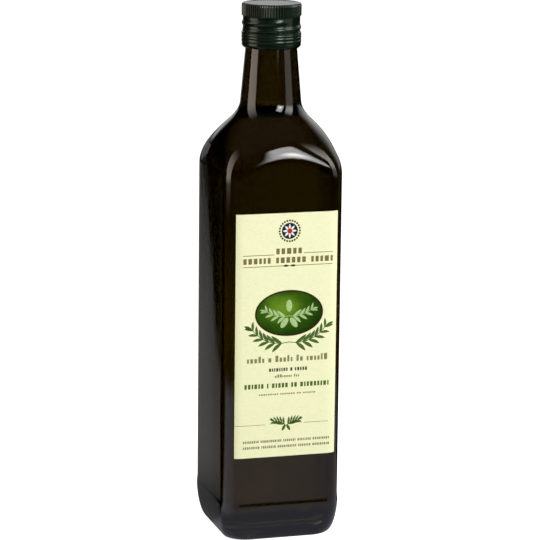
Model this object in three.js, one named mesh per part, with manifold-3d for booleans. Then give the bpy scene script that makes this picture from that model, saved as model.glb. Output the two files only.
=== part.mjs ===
import * as THREE from 'three';
import { mergeVertices } from 'three/addons/utils/BufferGeometryUtils.js';
import Module from 'manifold-3d';

// A square glass bottle of olive oil with a round neck, a rolled-on metal cap and a paper label.
// Millimetres, +Z up. It stands on z = 0 with its axis on Z, and the label faces -Y.

// Body: a rounded square pillar
const BODY_HALF = 32.85;
const CORNER_RADIUS = 9.4;
const FLAT_STEPS = 6;
const CORNER_STEPS = 7;

// Heel: an upright quarter ellipse under a slightly proud band
const HEEL_HEIGHT = 22.6;
const HEEL_INSET = 4.8;
const HEEL_CORNER_GROWTH = 0.46;
const HEEL_PROUD = 0.3;
const CREASE_Z = 20.6;
const CREASE_WIDTH_MIDDLE = 2.0;
const CREASE_WIDTH_ENDS = 1.0;
const CREASE_WIDTH_CORNER = 10;

// Underside: a flat bearing ring round a shallow push-up
const PUSH_UP = 4;
const PUSH_UP_SHARE = 0.82;

// Shoulder: a cone-shaped dome, faired into the pillar below and into the neck above
const SHOULDER_Z = 200;
const SHOULDER_LEDGE = 0.2;
const CONE_Z = 216;
const CONE_RADIUS = 32.9;
const CONE_SLOPE = 1.09;
const PILLAR_BLEND = 10;
const NECK_BLEND = 4.8;

// Neck and mouth
const NECK_Z = 262.7;
const NECK_RADIUS = 13.97;
const NECK_SLOPE = 0.0892;
const FINISH_Z = 266;
const FINISH_RADIUS = 14.1;

// Inside of the glass
const WALL = 3.0;
const CONE_WALL = 4.6;
const FLOOR_THICKNESS = 5.5;
const INNER_HEEL_HEIGHT = 12;
const INNER_HEEL_INSET = 8;
const BORE_RADIUS = 10.8;
const BORE_SLOPE = 0.07;
const BORE_BLEND = 1.2;

// Oil
const OIL_LEVEL = 268;
const OIL_GAP = 0.15;

// Cap
const HEIGHT = 288.2;
const CAP_BOTTOM = 264.4;
const CAP_TOP_THICKNESS = 0.8;
const CAP_BORE = 14.45;
const CAP_RADIUS = 16.05;
const CAP_GROOVE_RADIUS = 15.3;
const CAP_EDGE = 0.7;
const CAP_STEPS = 48;
const BAND_TOP = 272.8;
const BEAD_DEPTH = 0.22;
const KNURL_BOTTOM = 281.1;
const KNURL_TOP = 287.5;
const KNURL_RADIUS = 16;
const KNURL_DEPTH = 0.42;
const KNURL_FLUTES = 72;
const THREAD_PITCH = 4.2;
const THREAD_RADIUS = 14.75;
const THREAD_THICKNESS = 1.1;
const THREAD_FIRST_Z = 273.3;
const THREAD_FIRST_ANGLE = 163;
const THREAD_TURNS = 1.3;

// Label: a sheet on the front flat that runs a little way round both front corners
const LABEL_BOTTOM = 47.1;
const LABEL_TOP = 180.2;
const LABEL_LEFT = 27.8;
const LABEL_RIGHT = 28.8;
const LABEL_THICKNESS = 0.15;
const LABEL_GAP = 0.05;

const FINISH_TOP = HEIGHT - CAP_TOP_THICKNESS;
const degrees = THREE.MathUtils.degToRad;
const mix = THREE.MathUtils.lerp;

const wasm = await Module();
wasm.setup();

// The smaller of two lengths, faired over where they differ by less than the width
function blendMin(a, b, width) {
  const near = Math.max(width - Math.abs(a - b), 0) / width;
  return Math.min(a, b) - (near * near * width) / 4;
}

function blendMax(a, b, width) {
  return -blendMin(-a, -b, width);
}

// Places round the pillar, the same at every height, counterclockwise from the front flat.
// Each is a share of a flat, -1 to 1, and then a turn round the corner that follows it.
function makeStations() {
  const stations = [];
  for (let side = 0; side < 4; side++) {
    for (let i = 0; i < FLAT_STEPS; i++) {
      stations.push({ side, along: (2 * i) / FLAT_STEPS - 1, turn: 0 });
    }
    for (let i = 0; i < CORNER_STEPS; i++) {
      stations.push({ side, along: 1, turn: (i / CORNER_STEPS) * (Math.PI / 2) });
    }
  }
  return stations;
}

const stations = makeStations();

// A point on a rounded square, as [x, y]
function squarePoint(station, half, corner) {
  const flat = half - corner;
  let x = station.along * flat + corner * Math.sin(station.turn);
  let y = -(flat + corner * Math.cos(station.turn));
  for (let i = 0; i < station.side; i++) {
    [x, y] = [-y, x];
  }
  return [x, y];
}

// The rounded square cut down to the radius of the dome at that height
function domedPoint(station, half, corner, domeRadius) {
  const [x, y] = squarePoint(station, half, corner);
  const reach = Math.hypot(x, y);
  const scale = blendMin(reach, domeRadius, PILLAR_BLEND) / reach;
  return [x * scale, y * scale];
}

// 1 on a flat, falling to 0 in the middle of a corner
function flatness(station) {
  return Math.cos(2 * station.turn) ** 2;
}

function creaseWidth(station) {
  const bow = 1 - station.along ** 2;
  const onFlat = mix(CREASE_WIDTH_ENDS, CREASE_WIDTH_MIDDLE, bow);
  return mix(CREASE_WIDTH_CORNER, onFlat, flatness(station));
}

function coneRadius(z) {
  return CONE_RADIUS + CONE_SLOPE * (CONE_Z - z);
}

function outerDome(z) {
  if (z >= FINISH_Z) return FINISH_RADIUS;
  const neck = NECK_RADIUS + NECK_SLOPE * (NECK_Z - z);
  return blendMax(neck, coneRadius(z), NECK_BLEND);
}

// Outer skin of the glass at one station and height
function outerPoint(station, z) {
  const drop = Math.max(1 - z / HEEL_HEIGHT, 0);
  const inset = HEEL_INSET * (1 - Math.sqrt(1 - drop * drop));
  const rise = (z - CREASE_Z) / creaseWidth(station) + 0.5;
  const proud = HEEL_PROUD * (1 - THREE.MathUtils.clamp(rise, 0, 1));
  const isSide = station.side % 2 === 1;
  const ledge = isSide && z > SHOULDER_Z ? SHOULDER_LEDGE * flatness(station) : 0;
  const half = BODY_HALF + proud - inset - ledge;
  const corner = CORNER_RADIUS + HEEL_CORNER_GROWTH * inset;
  const [x, y] = domedPoint(station, half, corner, outerDome(z));
  return [x, y, z];
}

// Underside of the glass, as a share of the bearing edge
function undersidePoint(station, share) {
  const [x, y] = outerPoint(station, 0);
  const z = share < PUSH_UP_SHARE ? PUSH_UP * (1 - (share / PUSH_UP_SHARE) ** 2) : 0;
  return [x * share, y * share, z];
}

function innerDome(z) {
  const bore = blendMax(BORE_RADIUS, BORE_RADIUS + BORE_SLOPE * (NECK_Z - z), BORE_BLEND);
  return blendMax(bore, coneRadius(z) - CONE_WALL, NECK_BLEND);
}

// Skin of the cavity, drawn in by a gap for what fills it
function cavityPoint(station, z, gap) {
  const drop = Math.max(1 - (z - gap - FLOOR_THICKNESS) / INNER_HEEL_HEIGHT, 0);
  const inset = INNER_HEEL_INSET * (1 - Math.sqrt(1 - drop * drop));
  const half = BODY_HALF - WALL - inset - gap;
  const corner = CORNER_RADIUS - WALL + HEEL_CORNER_GROWTH * inset - gap;
  const [x, y] = domedPoint(station, half, corner, innerDome(z) - gap);
  return [x, y, z];
}

// Floor of the cavity, which rises over the push-up
function floorPoint(station, share, gap) {
  const edge = FLOOR_THICKNESS + gap;
  const [x, y] = cavityPoint(station, edge, gap);
  return [x * share, y * share, edge + PUSH_UP * (1 - share * share)];
}

// Squared distance between two points of a list of coordinates
function gapSquared(positions, a, b) {
  const axes = [0, 1, 2];
  return axes.reduce((sum, axis) => sum + (positions[3 * a + axis] - positions[3 * b + axis]) ** 2, 0);
}

// A closed skin through rings of points that start at one point on the axis and end at another.
// Each four-sided facet is split along its shorter diagonal.
function loft(startZ, rings, endZ) {
  const count = stations.length;
  const positions = [0, 0, startZ];
  const index = [];
  for (const ring of rings) {
    for (const station of stations) {
      positions.push(...ring(station));
    }
  }
  const last = positions.length / 3;
  positions.push(0, 0, endZ);
  for (let i = 0; i < count; i++) {
    const next = (i + 1) % count;
    index.push(0, 1 + next, 1 + i);
    for (let row = 0; row < rings.length - 1; row++) {
      const a = 1 + row * count + i;
      const b = 1 + row * count + next;
      const c = b + count;
      const d = a + count;
      const alongAC = gapSquared(positions, a, c) < gapSquared(positions, b, d);
      index.push(...(alongAC ? [a, b, c, a, c, d] : [a, b, d, b, c, d]));
    }
    index.push(last, last - count + i, last - count + next);
  }
  const geometry = new THREE.BufferGeometry();
  geometry.setAttribute('position', new THREE.Float32BufferAttribute(positions, 3));
  geometry.setIndex(index);
  geometry.computeVertexNormals();
  return geometry;
}

// Evenly spaced numbers, both ends included
function spread(from, to, steps) {
  return Array.from({ length: steps + 1 }, (_, i) => mix(from, to, i / steps));
}

const underShares = [0.3, 0.55, 0.72, PUSH_UP_SHARE];
const heelHeights = spread(0, 70, 5).map((angle) => HEEL_HEIGHT * (1 - Math.cos(degrees(angle))));
const domeHeights = spread(SHOULDER_Z + 0.6, 236, 13);
const cavityDomeHeights = spread(198, 236, 10);
const floorShares = [0.85, 0.6, 0.3];

function outerRings() {
  const at = (z) => (station) => outerPoint(station, z);
  const crease = (way) => (station) => outerPoint(station, CREASE_Z + way * creaseWidth(station) / 2);
  return [
    ...underShares.map((share) => (station) => undersidePoint(station, share)),
    ...heelHeights.map(at),
    crease(-1),
    crease(1),
    at(28),
    at(SHOULDER_Z - 3),
    at(SHOULDER_Z),
    ...domeHeights.map(at),
    ...[NECK_Z - 11, NECK_Z + 2, FINISH_Z, FINISH_TOP].map(at),
  ];
}

function cavityRings(top, gap) {
  const at = (z) => (station) => cavityPoint(station, z, gap);
  const heel = spread(0, 90, 6).map((angle) => INNER_HEEL_HEIGHT * (1 - Math.cos(degrees(angle))));
  const floor = floorShares.map((share) => (station) => floorPoint(station, share, gap));
  return [
    at(top),
    ...[OIL_LEVEL, NECK_Z, NECK_Z - 19].filter((z) => z < top).map(at),
    ...cavityDomeHeights.map(at).reverse(),
    ...heel.map((z) => at(FLOOR_THICKNESS + gap + z)).reverse(),
    ...floor,
  ];
}

function bottleGeometry() {
  const rings = [...outerRings(), ...cavityRings(FINISH_TOP, 0)];
  return loft(PUSH_UP, rings, FLOOR_THICKNESS + PUSH_UP);
}

function oilGeometry() {
  const rings = cavityRings(OIL_LEVEL, OIL_GAP).reverse();
  return loft(FLOOR_THICKNESS + PUSH_UP + OIL_GAP, rings, OIL_LEVEL);
}

// Profile of the cap's shell as [radius, z], from under its top, down inside and up outside
function capProfile() {
  const band = [];
  const beads = 3;
  for (const share of spread(0, beads, beads * 3)) {
    const wave = 0.5 - 0.5 * Math.cos(share * 2 * Math.PI);
    const z = mix(CAP_BOTTOM + 3, BAND_TOP - 0.5, share / beads);
    band.push([CAP_RADIUS - BEAD_DEPTH * (1 - wave), z]);
  }
  return [
    [0, FINISH_TOP],
    [CAP_BORE, FINISH_TOP],
    [CAP_BORE, CAP_BOTTOM],
    [CAP_BORE + 0.4, CAP_BOTTOM],
    [CAP_RADIUS - 0.5, CAP_BOTTOM + 0.5],
    [CAP_RADIUS, CAP_BOTTOM + 1.6],
    ...band,
    [CAP_GROOVE_RADIUS, BAND_TOP],
    [CAP_GROOVE_RADIUS, KNURL_BOTTOM + 1],
    [CAP_GROOVE_RADIUS, KNURL_TOP - 1],
    [KNURL_RADIUS - KNURL_DEPTH, KNURL_TOP - 0.3],
    [KNURL_RADIUS - CAP_EDGE, HEIGHT],
    [0, HEIGHT],
  ];
}

// A fluted ring outline: the grip round the top of the cap
function knurlGeometry() {
  const outline = [];
  for (let i = 0; i < KNURL_FLUTES * 2; i++) {
    const radius = KNURL_RADIUS - (i % 2) * KNURL_DEPTH;
    const angle = (i * Math.PI) / KNURL_FLUTES;
    outline.push(new THREE.Vector2(radius * Math.cos(angle), radius * Math.sin(angle)));
  }
  const depth = KNURL_TOP - KNURL_BOTTOM;
  const band = new THREE.ExtrudeGeometry(new THREE.Shape(outline), { depth, bevelEnabled: false });
  return band.translate(0, 0, KNURL_BOTTOM);
}

// The line of the rolled thread, a right-handed helix
class ThreadLine extends THREE.Curve {
  getPoint(t, target = new THREE.Vector3()) {
    const turn = t * THREAD_TURNS;
    const angle = degrees(THREAD_FIRST_ANGLE) + turn * 2 * Math.PI;
    const z = THREAD_FIRST_Z + turn * THREAD_PITCH;
    return target.set(THREAD_RADIUS * Math.cos(angle), THREAD_RADIUS * Math.sin(angle), z);
  }
}

function threadGeometry() {
  const section = new THREE.Shape();
  section.absarc(0, 0, THREAD_THICKNESS, 0, 2 * Math.PI);
  const steps = Math.round(THREAD_TURNS * 32);
  const options = { steps, curveSegments: 4, bevelEnabled: false, extrudePath: new ThreadLine() };
  return new THREE.ExtrudeGeometry(section, options);
}

// A solid for joining and cutting, from a closed geometry
function toSolid(geometry) {
  const bare = geometry.clone();
  bare.deleteAttribute('normal');
  bare.deleteAttribute('uv');
  const merged = mergeVertices(bare, 1e-4);
  return new wasm.Manifold(new wasm.Mesh({
    numProp: 3,
    vertProperties: new Float32Array(merged.attributes.position.array),
    triVerts: new Uint32Array(merged.index.array),
  }));
}

function toGeometry(solid) {
  const mesh = solid.getMesh();
  const geometry = new THREE.BufferGeometry();
  geometry.setAttribute('position', new THREE.BufferAttribute(mesh.vertProperties, 3));
  geometry.setIndex(new THREE.BufferAttribute(mesh.triVerts, 1));
  geometry.computeVertexNormals();
  return geometry;
}

function capGeometry() {
  const profile = capProfile().map(([radius, z]) => new THREE.Vector2(radius, z));
  const shell = toSolid(new THREE.LatheGeometry(profile, CAP_STEPS).rotateX(Math.PI / 2));
  const boreOutline = new THREE.Shape();
  boreOutline.absarc(0, 0, CAP_BORE + 0.2, 0, 2 * Math.PI);
  const boreDepth = { depth: FINISH_TOP - CAP_BOTTOM, bevelEnabled: false, curveSegments: 32 };
  const bore = toSolid(new THREE.ExtrudeGeometry(boreOutline, boreDepth).translate(0, 0, CAP_BOTTOM));
  const grip = toSolid(knurlGeometry()).subtract(bore);
  const thread = toSolid(threadGeometry()).subtract(bore);
  return toGeometry(shell.add(grip).add(thread));
}

// The line of the label over the front flat and a little way round both corners, set off outwards
// from the skin by a distance
function labelLine(offset) {
  const flat = BODY_HALF - CORNER_RADIUS;
  const stepAngle = Math.PI / 2 / CORNER_STEPS;
  const corner = CORNER_RADIUS + offset;
  const wrap = (length, way) => {
    const turn = (length - flat) / CORNER_RADIUS;
    const turns = spread(0, Math.floor(turn / stepAngle), Math.floor(turn / stepAngle));
    const angles = [...turns.map((i) => i * stepAngle), turn];
    return angles.map((angle) => new THREE.Vector2(
      way * (flat + corner * Math.sin(angle)),
      -(flat + corner * Math.cos(angle)),
    ));
  };
  return [...wrap(LABEL_LEFT, -1).reverse(), ...wrap(LABEL_RIGHT, 1)];
}

function labelGeometry() {
  const inner = labelLine(LABEL_GAP);
  const outer = labelLine(LABEL_GAP + LABEL_THICKNESS);
  const outline = new THREE.Shape([...outer, ...inner.reverse()]);
  const depth = LABEL_TOP - LABEL_BOTTOM;
  return new THREE.ExtrudeGeometry(outline, { depth, bevelEnabled: false }).translate(0, 0, LABEL_BOTTOM);
}

const glass = new THREE.MeshStandardMaterial({ color: 0x1d1a06, roughness: 0.05, metalness: 0 });
const oil = new THREE.MeshStandardMaterial({ color: 0x8a7a1c, roughness: 0.1, metalness: 0 });
const lacquer = new THREE.MeshStandardMaterial({ color: 0x1c3a2a, roughness: 0.3, metalness: 0.8 });
const paper = new THREE.MeshStandardMaterial({ color: 0xf6f8da, roughness: 0.6, metalness: 0 });

function part(name, geometry, material) {
  const mesh = new THREE.Mesh(geometry, material);
  mesh.name = name;
  return mesh;
}

const bottle = new THREE.Group();
bottle.add(
  part('glass_bottle', bottleGeometry(), glass),
  part('olive_oil', oilGeometry(), oil),
  part('screw_cap', capGeometry(), lacquer),
  part('front_label', labelGeometry(), paper),
);

export default bottle;
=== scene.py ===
"""A square dark green bottle of olive oil with a cream label and a rolled-on metal cap.

Metres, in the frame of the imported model: +Z up, the label faces -Y, the base stands on z = 0.
"""

import logging
import math
import random
from abc import ABC, abstractmethod
from dataclasses import dataclass, field
from enum import Enum

import bpy
import numpy as np
from mathutils import Matrix, Vector


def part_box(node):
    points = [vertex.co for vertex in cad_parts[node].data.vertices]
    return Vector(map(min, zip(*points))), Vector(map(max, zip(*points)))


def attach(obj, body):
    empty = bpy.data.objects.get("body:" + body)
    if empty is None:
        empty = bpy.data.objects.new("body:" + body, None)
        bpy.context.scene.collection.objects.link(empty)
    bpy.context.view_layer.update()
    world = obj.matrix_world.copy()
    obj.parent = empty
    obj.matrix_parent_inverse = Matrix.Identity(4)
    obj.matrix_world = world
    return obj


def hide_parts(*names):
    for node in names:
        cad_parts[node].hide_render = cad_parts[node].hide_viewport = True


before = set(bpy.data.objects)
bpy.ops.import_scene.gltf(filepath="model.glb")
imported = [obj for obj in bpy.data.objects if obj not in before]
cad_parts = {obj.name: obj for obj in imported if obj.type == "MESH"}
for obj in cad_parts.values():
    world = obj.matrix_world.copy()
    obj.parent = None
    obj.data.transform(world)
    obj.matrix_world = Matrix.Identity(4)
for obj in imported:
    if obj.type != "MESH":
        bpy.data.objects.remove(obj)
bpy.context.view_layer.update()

BODY = "root"
SKIN_OVERLAP = 0.0002
SHARP_ANGLE = math.radians(38)

Pair = tuple[float, float]
Triple = tuple[float, float, float]
Colour = Triple
Span = tuple[float, float, int]
Mesh = tuple[np.ndarray, list[tuple[int, ...]]]

BLACK: Colour = (0.0, 0.0, 0.0)
WHITE: Colour = (1.0, 1.0, 1.0)
EVEN: Triple = (1.0, 1.0, 1.0)

# Light that comes through the glass from the sides of the view is held back to a share. The band is
# of the square of the cosine of the light's angle to the view.
SIDEWAYS_BAND: Pair = (0.25, 0.72)
SIDEWAYS_SHARE = 0.4

# How full a drawn olive is between its ends, where a leaf has 1.
OLIVE_FULLNESS = 0.5

log = logging.getLogger("bottle")


class Slot(Enum):
    """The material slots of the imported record."""

    GLASS = "green_glass"
    OIL = "oil"
    CAP = "cap_lacquer"
    PAPER = "label_paper"
    INK = "label_ink"


def srgb(red: int, green: int, blue: int) -> Colour:
    """Turns a display colour, 0 to 255, into a linear one, 0 to 1."""
    shares = [value / 255 for value in (red, green, blue)]
    return tuple(c / 12.92 if c <= 0.04045 else ((c + 0.055) / 1.055) ** 2.4 for c in shares)


def blend_min(a: np.ndarray, b: np.ndarray, width: float) -> np.ndarray:
    """Gives the smaller of two lengths, faired over where they differ by less than a width."""
    near = np.maximum(width - np.abs(a - b), 0) / width
    return np.minimum(a, b) - near * near * width / 4


def blend_max(a: np.ndarray, b: np.ndarray, width: float) -> np.ndarray:
    """Gives the larger of two lengths, faired as in blend_min."""
    return -blend_min(-a, -b, width)


def smooth_step(low: float, high: float, value: np.ndarray | float) -> np.ndarray:
    """Rises from 0 where a value is low to 1 where it is high, without a corner."""
    share = np.clip((value - low) / (high - low), 0, 1)
    return share * share * (3 - 2 * share)


def bell(distance: float, width: float) -> float:
    """Gives a bump that is 1 at a distance of 0 and fades over a width."""
    return math.exp(-((distance / width) ** 2))


def spread(*spans: Span) -> list[float]:
    """Gives evenly spaced numbers over spans, each given by its ends and its count."""
    return [number for span in spans for number in np.linspace(*span)]


def around(centre: Pair, radius: float, turn: float) -> Pair:
    """Gives the place at a radius and an angle in radians round a centre."""
    return centre[0] + radius * math.cos(turn), centre[1] + radius * math.sin(turn)


def bowed(start: Pair, end: Pair, bend: float, share: np.ndarray) -> tuple[np.ndarray, np.ndarray]:
    """Follows a line between two places that bows to the left.

    Args:
        start: Where it starts, in metres.
        end: Where it ends, in metres.
        bend: How far its middle stands to the left, as a share of its length.
        share: Shares of the way along it.

    Returns:
        Its places and its directions, a row for each share.
    """
    way = np.subtract(end, start)
    side = np.array([-way[1], way[0]])
    places = start + np.outer(share, way) + np.outer(bend * 4 * share * (1 - share), side)
    return places, way + np.outer(bend * 4 * (1 - 2 * share), side)


class Value:
    """A shader number: an output socket that takes Python's operators."""

    def __init__(self, book: "NodeBook", socket: bpy.types.NodeSocket) -> None:
        """Wraps an output socket of a book's nodes."""
        self.book = book
        self.socket = socket

    def _math(self, operation: str, *terms: "Value | float") -> "Value":
        """Adds a Math node of an operation, with its terms in order."""
        node = self.book.node("ShaderNodeMath", {"operation": operation}, dict(enumerate(terms)))
        return Value(self.book, node.outputs[0])

    def __add__(self, other: "Value | float") -> "Value":
        """Sum."""
        return self._math("ADD", self, other)

    def __radd__(self, other: "Value | float") -> "Value":
        """Sum with a number first."""
        return self._math("ADD", other, self)

    def __sub__(self, other: "Value | float") -> "Value":
        """Difference."""
        return self._math("SUBTRACT", self, other)

    def __rsub__(self, other: "Value | float") -> "Value":
        """Difference with a number first."""
        return self._math("SUBTRACT", other, self)

    def __mul__(self, other: "Value | float") -> "Value":
        """Product."""
        return self._math("MULTIPLY", self, other)

    def __rmul__(self, other: "Value | float") -> "Value":
        """Product with a number first."""
        return self._math("MULTIPLY", other, self)

    def __truediv__(self, other: "Value | float") -> "Value":
        """Quotient."""
        return self._math("DIVIDE", self, other)

    def __rtruediv__(self, other: "Value | float") -> "Value":
        """Quotient with a number first."""
        return self._math("DIVIDE", other, self)

    def root(self) -> "Value":
        """Square root."""
        return self._math("SQRT", self)

    def rise(self, low: float, high: float, start: float = 0.0) -> "Value":
        """Rises from a start to 1 as the value goes from low to high, without a corner.

        Args:
            low: Where the rise starts.
            high: Where the rise ends.
            start: The result below the rise.

        Returns:
            The share.
        """
        settings = {"interpolation_type": "SMOOTHSTEP"}
        node = self.book.node("ShaderNodeMapRange", settings, {0: self, 1: low, 2: high, 3: start})
        return Value(self.book, node.outputs[0])


class NodeBook:
    """The shader nodes of one material, world or light."""

    def __init__(self, owner: bpy.types.Material | bpy.types.World | bpy.types.Light) -> None:
        """Empties the node tree of a material, world or light.

        Args:
            owner: What the nodes belong to.
        """
        owner.use_nodes = True
        self.tree = owner.node_tree
        self.tree.nodes.clear()

    def node(self, kind: str, settings: dict | None = None, inputs: dict | None = None) -> bpy.types.Node:
        """Adds a node.

        Args:
            kind: Blender's name of the node type.
            settings: Properties to set first, by name.
            inputs: Values or links of its sockets, by name or number.

        Returns:
            The node.
        """
        node = self.tree.nodes.new(kind)
        for name, value in (settings or {}).items():
            setattr(node, name, value)
        for key, value in (inputs or {}).items():
            socket = node.inputs[key]
            if isinstance(value, Value):
                value = value.socket
            if isinstance(value, bpy.types.NodeSocket):
                self.tree.links.new(value, socket)
            else:
                socket.default_value = value
        return node

    def place(self, stretch: Triple = EVEN) -> bpy.types.NodeSocket:
        """Gives the place on the object in metres, in the object's own frame.

        Args:
            stretch: Factors along X, Y and Z.

        Returns:
            A vector socket.
        """
        here = self.node("ShaderNodeTexCoord").outputs["Object"]
        if stretch == EVEN:
            return here
        settings = {"operation": "MULTIPLY"}
        return self.node("ShaderNodeVectorMath", settings, {0: here, 1: stretch}).outputs[0]

    def along(self, vector: bpy.types.NodeSocket, axis: str) -> Value:
        """Gives the part of a vector along X, Y or Z."""
        return Value(self, self.node("ShaderNodeSeparateXYZ", None, {0: vector}).outputs[axis])

    def noise(self, size: float, detail: float = 2, stretch: Triple = EVEN) -> Value:
        """Gives a smooth noise, about 0.5 on average, with spots of a size in metres."""
        inputs = {"Vector": self.place(stretch), "Scale": 1 / size, "Detail": detail}
        return Value(self, self.node("ShaderNodeTexNoise", None, inputs).outputs[0])

    def rays(self, *kinds: str) -> list[Value]:
        """Gives for each kind of ray 1 where such a ray looks, and 0 elsewhere."""
        path = self.node("ShaderNodeLightPath")
        return [Value(self, path.outputs[f"Is {kind} Ray"]) for kind in kinds]

    def mix(self, share: Value, first: object, second: object) -> bpy.types.NodeSocket:
        """Mixes two colours.

        Args:
            share: Share of the second colour, 0 to 1.
            first: A linear colour or a colour socket.
            second: A linear colour or a colour socket.

        Returns:
            A colour socket.
        """
        ends = [(*c, 1) if isinstance(c, tuple) else c for c in (first, second)]
        inputs = {0: share, 6: ends[0], 7: ends[1]}
        settings = {"data_type": "RGBA", "clamp_factor": True}
        return self.node("ShaderNodeMix", settings, inputs).outputs[2]

    def bump(self, height: Value, reach: float, under: bpy.types.NodeSocket | None = None
             ) -> bpy.types.NodeSocket:
        """Turns a height into a normal.

        Args:
            height: The relief, 0 to 1.
            reach: What a height of 1 measures, in metres.
            under: The normal of a coarser relief that it lies on.

        Returns:
            A normal socket.
        """
        inputs = {"Distance": reach, "Height": height}
        if under is not None:
            inputs["Normal"] = under
        return self.node("ShaderNodeBump", None, inputs).outputs[0]

    def surface(self, inputs: dict) -> None:
        """Ends the book with a Principled surface, given its values or links by name."""
        shader = self.node("ShaderNodeBsdfPrincipled", None, inputs)
        self.node("ShaderNodeOutputMaterial", None, {"Surface": shader.outputs[0]})


class Finish(ABC):
    """A finish that makes one procedural material."""

    name: str

    def material(self) -> bpy.types.Material:
        """Makes the material.

        Returns:
            The material, with its nodes.
        """
        material = bpy.data.materials.new(self.name)
        self.draw(NodeBook(material))
        return material

    @abstractmethod
    def draw(self, book: NodeBook) -> None:
        """Draws the nodes of the material in its book."""


@dataclass(frozen=True)
class GreenGlass(Finish):
    """Dark green bottle glass, slightly rippled by the mould."""

    name: str = "green_glass"
    tint: Colour = (0.128, 0.098, 0.022)
    deep_tint: Colour = (0.103, 0.077, 0.016)
    ior: float = 1.52
    ripple_size: float = 0.034
    ripple_stretch: Triple = (1, 1, 0.35)
    ripple_height: float = 0.00007
    deep_band: Pair = (0.3, 0.7)
    peel_size: float = 0.0035
    peel_height: float = 0.000006
    smear_size: float = 0.02
    smear_band: Pair = (0.5, 0.75)
    roughness: float = 0.02
    smear_roughness: float = 0.03

    def draw(self, book: NodeBook) -> None:
        """Draws tinted glass with long ripples, a fine orange peel and faint smears.

        Args:
            book: The material's nodes.
        """
        streaks = book.noise(self.ripple_size, 1, self.ripple_stretch)
        peel = book.noise(self.peel_size, 1)
        smears = book.noise(self.smear_size, 4).rise(*self.smear_band)
        ripple = book.bump(streaks, self.ripple_height)
        book.surface({
            "Base Color": book.mix(streaks.rise(*self.deep_band), self.tint, self.deep_tint),
            "Roughness": smears * self.smear_roughness + self.roughness,
            "IOR": self.ior,
            "Transmission Weight": 1.0,
            "Normal": book.bump(peel, self.peel_height, ripple),
        })


@dataclass(frozen=True)
class ClearOil(Finish):
    """Yellow-green olive oil, a little denser towards the bottom."""

    name: str = "olive_oil"
    tint: Colour = (0.86, 0.76, 0.16)
    dense_tint: Colour = (0.78, 0.68, 0.1)
    ior: float = 1.47
    settled: float = 0.03
    cloud_size: float = 0.04
    cloud_rise: float = 0.02

    def draw(self, book: NodeBook) -> None:
        """Draws the oil, with a cloudy border between its thinner and its denser part.

        Args:
            book: The material's nodes.
        """
        height = book.along(book.place(), "Z")
        cloud = book.noise(self.cloud_size) * self.cloud_rise
        share = 1 - (height + cloud).rise(0, self.settled)
        book.surface({
            "Base Color": book.mix(share, self.tint, self.dense_tint),
            "Roughness": 0.0,
            "IOR": self.ior,
            "Transmission Weight": 1.0,
        })


@dataclass(frozen=True)
class CapLacquer(Finish):
    """Dark green lacquer on thin metal, thinner on its crests."""

    name: str = "cap_lacquer"
    lacquer: Colour = srgb(19, 36, 23)
    thin: Colour = srgb(44, 57, 44)
    deep: Colour = srgb(13, 26, 17)
    metallic: float = 0.55
    specular: float = 0.25
    coat: float = 0.3
    coat_roughness: float = 0.1
    roughness: float = 0.24
    cloud_size: float = 0.006
    cloud_band: Pair = (0.35, 0.7)
    cloud_roughness: float = 0.06
    grain_size: float = 0.0004
    grain_height: float = 0.000012
    grain_roughness: float = 0.08
    least_wear: float = 0.25
    cloud_wear: float = 0.7

    def draw(self, book: NodeBook) -> None:
        """Draws cloudy lacquer that is worn thin where the mesh has a crest.

        Args:
            book: The material's nodes.
        """
        crest_node = book.node("ShaderNodeAttribute", {"attribute_name": "crest"})
        crest = Value(book, crest_node.outputs["Fac"])
        cloud = book.noise(self.cloud_size, 3)
        grain = book.noise(self.grain_size)
        body = book.mix(cloud.rise(*self.cloud_band), self.deep, self.lacquer)
        book.surface({
            "Base Color": book.mix(crest * (cloud * self.cloud_wear + self.least_wear), body, self.thin),
            "Metallic": self.metallic,
            "Roughness": grain * self.grain_roughness + self.roughness + cloud * self.cloud_roughness,
            "Specular IOR Level": self.specular,
            "Coat Weight": self.coat,
            "Coat Roughness": self.coat_roughness,
            "Normal": book.bump(grain, self.grain_height),
        })


@dataclass(frozen=True)
class LabelPaper(Finish):
    """Cream uncoated paper with fine fibres."""

    name: str = "label_paper"
    paper: Colour = srgb(243, 246, 203)
    fibre: Colour = srgb(234, 236, 189)
    roughness: float = 0.55
    specular: float = 0.3
    fibre_size: float = 0.0007
    fibre_stretch: Triple = (0.35, 1, 1)
    fibre_height: float = 0.00003
    fibre_roughness: float = 0.15
    fibre_band: Pair = (0.35, 0.8)
    fibre_share: float = 0.6
    fleck_size: float = 0.0016
    fleck_band: Pair = (0.55, 0.8)
    fleck_share: float = 0.35
    cockle_size: float = 0.03
    cockle_height: float = 0.00012

    def draw(self, book: NodeBook) -> None:
        """Draws fibres and flecks on paper that the glue has cockled a little.

        Args:
            book: The material's nodes.
        """
        fibres = book.noise(self.fibre_size, 4, self.fibre_stretch)
        flecks = book.noise(self.fleck_size, 3)
        cockle = book.bump(book.noise(self.cockle_size, 1), self.cockle_height)
        fibrous = fibres.rise(*self.fibre_band) * self.fibre_share
        share = fibrous + flecks.rise(*self.fleck_band) * self.fleck_share
        book.surface({
            "Base Color": book.mix(share, self.paper, self.fibre),
            "Roughness": fibres * self.fibre_roughness + self.roughness,
            "Specular IOR Level": self.specular,
            "Normal": book.bump(fibres, self.fibre_height, cockle),
        })


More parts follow.
